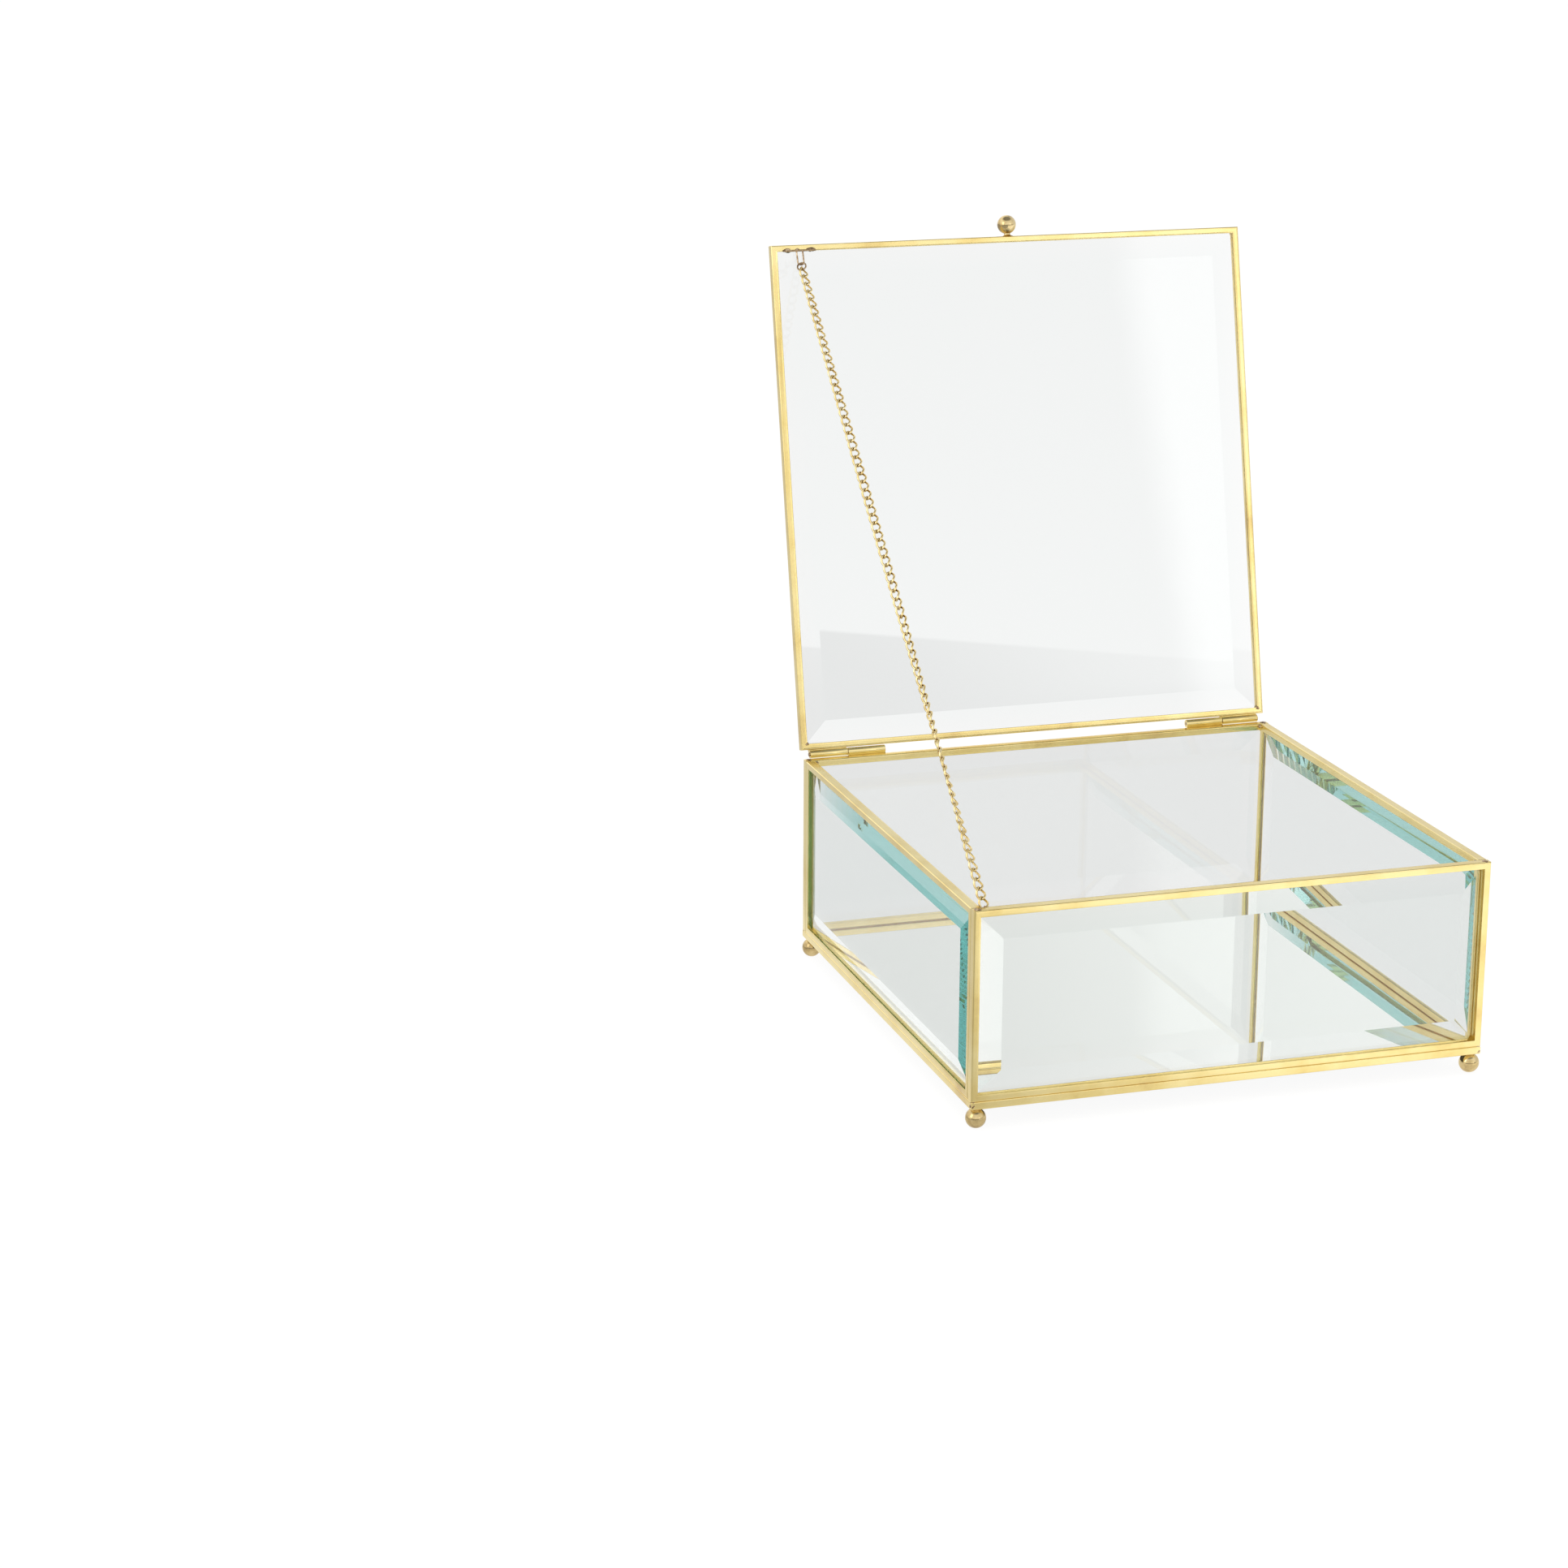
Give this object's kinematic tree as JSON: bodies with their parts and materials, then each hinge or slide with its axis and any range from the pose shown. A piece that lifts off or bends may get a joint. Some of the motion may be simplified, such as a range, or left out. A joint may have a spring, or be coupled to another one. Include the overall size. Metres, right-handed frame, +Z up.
{
  "type": "glass casket box",
  "caption": "Square display box of bevelled glass in brass channel, with a mirror floor, ball feet, and a hinged glass lid held open by a chain.",
  "frame": {"origin": "on the table, under the middle of the square case", "axes": "+Z up; the front of the case and the knob's side of the closed lid face -Y; the hinge axis runs along X at the back, +Y"},
  "size_m": [0.2562, 0.3221, 0.3658],
  "materials": {
    "brass": "polished brass channel, softly worn",
    "solder": "brass wire dulled by solder",
    "chain": "bright gilt curb chain",
    "glass": "clear bevelled plate glass",
    "mirror": "silvered float glass"
  },
  "bodies": {
    "case": {"front_channel_bottom": "brass", "front_channel_right": "brass", "front_channel_top": "brass", "front_channel_left": "brass", "back_channel_bottom": "brass", "back_channel_right": "brass", "back_channel_top": "brass", "back_channel_left": "brass", "left_channel_bottom": "brass", "left_channel_right": "brass", "left_channel_top": "brass", "left_channel_left": "brass", "right_channel_bottom": "brass", "right_channel_right": "brass", "right_channel_top": "brass", "right_channel_left": "brass", "base_channel_front": "brass", "base_channel_right": "brass", "base_channel_back": "brass", "base_channel_left": "brass", "front_pane": "glass", "back_pane": "glass", "left_pane": "glass", "right_pane": "glass", "mirror_floor": "mirror", "foot_front_left": "brass", "foot_front_right": "brass", "foot_back_left": "brass", "foot_back_right": "brass", "case_knuckle_left": "brass", "case_knuckle_right": "brass", "hinge_pin_left": "solder", "hinge_pin_right": "solder", "chain_eye": "solder"},
    "lid": {"lid_channel_front": "brass", "lid_channel_right": "brass", "lid_channel_back": "brass", "lid_channel_left": "brass", "lid_pane": "glass", "knob": "brass", "lid_knuckle_left": "brass", "lid_knuckle_right": "brass", "lid_staple": "solder"},
    "chain_1": {"chain_run_1": "chain"},
    "chain_2": {"chain_run_2": "chain"},
    "chain_3": {"chain_run_3": "chain"},
    "chain_4": {"chain_run_4": "chain"},
    "chain_5": {"chain_run_5": "chain"},
    "chain_6": {"chain_run_6": "chain"},
    "chain_7": {"chain_run_7": "chain"},
    "chain_8": {"chain_run_8": "chain"},
    "chain_9": {"chain_run_9": "chain"},
    "chain_10": {"chain_run_10": "chain"},
    "chain_11": {"chain_run_11": "chain"},
    "chain_12": {"chain_run_12": "chain"},
    "chain_13": {"chain_run_13": "chain"},
    "chain_14": {"chain_run_14": "chain"},
    "chain_15": {"chain_run_15": "chain", "chain_ring": "chain"}
  },
  "joints": [
    {"name": "lid_hinge", "type": "hinge", "parent": "case", "child": "lid", "pos_m": [0, 0.1293, 0.1056], "axis": [1, 0, 0], "range_deg": [0, 102.7]},
    {"name": "chain_joint_1", "type": "hinge", "parent": "case", "child": "chain_1", "pos_m": [-0.1197, -0.1207, 0.1026], "axis": [1, 0, 0], "range_deg": [-102.69, 0.5]},
    {"name": "chain_joint_2", "type": "hinge", "parent": "chain_1", "child": "chain_2", "pos_m": [-0.11919, -0.09972, 0.1195], "axis": [0.8655, -0.3269, 0.3795], "range_deg": [-17.17, 0.5]},
    {"name": "chain_joint_3", "type": "hinge", "parent": "chain_2", "child": "chain_3", "pos_m": [-0.11872, -0.08053, 0.13496], "axis": [0.8656, 0.3011, -0.4001], "range_deg": [-0.5, 25.22]},
    {"name": "chain_joint_4", "type": "hinge", "parent": "chain_3", "child": "chain_4", "pos_m": [-0.11821, -0.05978, 0.15168], "axis": [0.8657, 0.301, -0.3999], "range_deg": [-0.5, 20.3]},
    {"name": "chain_joint_5", "type": "hinge", "parent": "chain_4", "child": "chain_5", "pos_m": [-0.11774, -0.04059, 0.16714], "axis": [0.9149, -0.2666, 0.3031], "range_deg": [-0.5, 102.19]},
    {"name": "chain_joint_6", "type": "hinge", "parent": "chain_5", "child": "chain_6", "pos_m": [-0.11723, -0.01985, 0.18385], "axis": [0.9736, -0.1573, 0.1656], "range_deg": [-0.5, 103.17]},
    {"name": "chain_joint_7", "type": "hinge", "parent": "chain_6", "child": "chain_7", "pos_m": [-0.11676, -0.00066, 0.19931], "axis": [0.9915, 0.0661, -0.1122], "range_deg": [-0.5, 102.52]},
    {"name": "chain_joint_8", "type": "hinge", "parent": "chain_7", "child": "chain_8", "pos_m": [-0.11625, 0.02009, 0.21602], "axis": [0.9998, -0.0141, -0.0128], "range_deg": [-0.5, 100.48]},
    {"name": "chain_joint_9", "type": "hinge", "parent": "chain_8", "child": "chain_9", "pos_m": [-0.11578, 0.03928, 0.23148], "axis": [0.9057, -0.2792, 0.3191], "range_deg": [-60.61, 0.5]},
    {"name": "chain_joint_10", "type": "hinge", "parent": "chain_9", "child": "chain_10", "pos_m": [-0.11528, 0.06003, 0.2482], "axis": [0.9916, -0.0951, 0.0879], "range_deg": [-102.22, 0.5]},
    {"name": "chain_joint_11", "type": "hinge", "parent": "chain_10", "child": "chain_11", "pos_m": [-0.11481, 0.07922, 0.26366], "axis": [0.9381, -0.2309, 0.2582], "range_deg": [-34.04, 0.5]},
    {"name": "chain_joint_12", "type": "hinge", "parent": "chain_11", "child": "chain_12", "pos_m": [-0.1143, 0.09996, 0.28037], "axis": [0.9061, -0.2786, 0.3183], "range_deg": [-55.54, 0.5]},
    {"name": "chain_joint_13", "type": "hinge", "parent": "chain_12", "child": "chain_13", "pos_m": [-0.11383, 0.11915, 0.29583], "axis": [0.8658, -0.3266, 0.3791], "range_deg": [-20.18, 0.5]},
    {"name": "chain_joint_14", "type": "hinge", "parent": "chain_13", "child": "chain_14", "pos_m": [-0.11332, 0.1399, 0.31254], "axis": [0.8656, 0.3011, -0.4], "range_deg": [-0.5, 44.2]},
    {"name": "chain_joint_15", "type": "hinge", "parent": "chain_14", "child": "chain_15", "pos_m": [-0.11285, 0.15909, 0.328], "axis": [0.8658, -0.3266, 0.3791], "range_deg": [-16.52, 0.5]}
  ],
  "couplings": [
    {"joint": "chain_joint_1", "follows": "lid_hinge", "ratio": -0.99503},
    {"joint": "chain_joint_2", "follows": "lid_hinge", "ratio": -0.16228},
    {"joint": "chain_joint_3", "follows": "lid_hinge", "ratio": 0.24074},
    {"joint": "chain_joint_4", "follows": "lid_hinge", "ratio": 0.1928},
    {"joint": "chain_joint_5", "follows": "lid_hinge", "ratio": 0.99014},
    {"joint": "chain_joint_6", "follows": "lid_hinge", "ratio": 0.99975},
    {"joint": "chain_joint_7", "follows": "lid_hinge", "ratio": 0.99336},
    {"joint": "chain_joint_8", "follows": "lid_hinge", "ratio": 0.97349},
    {"joint": "chain_joint_9", "follows": "lid_hinge", "ratio": -0.58526},
    {"joint": "chain_joint_10", "follows": "lid_hinge", "ratio": -0.99049},
    {"joint": "chain_joint_11", "follows": "lid_hinge", "ratio": -0.32659},
    {"joint": "chain_joint_12", "follows": "lid_hinge", "ratio": -0.5359},
    {"joint": "chain_joint_13", "follows": "lid_hinge", "ratio": -0.19161},
    {"joint": "chain_joint_14", "follows": "lid_hinge", "ratio": 0.42553},
    {"joint": "chain_joint_15", "follows": "lid_hinge", "ratio": -0.15602}
  ]
}
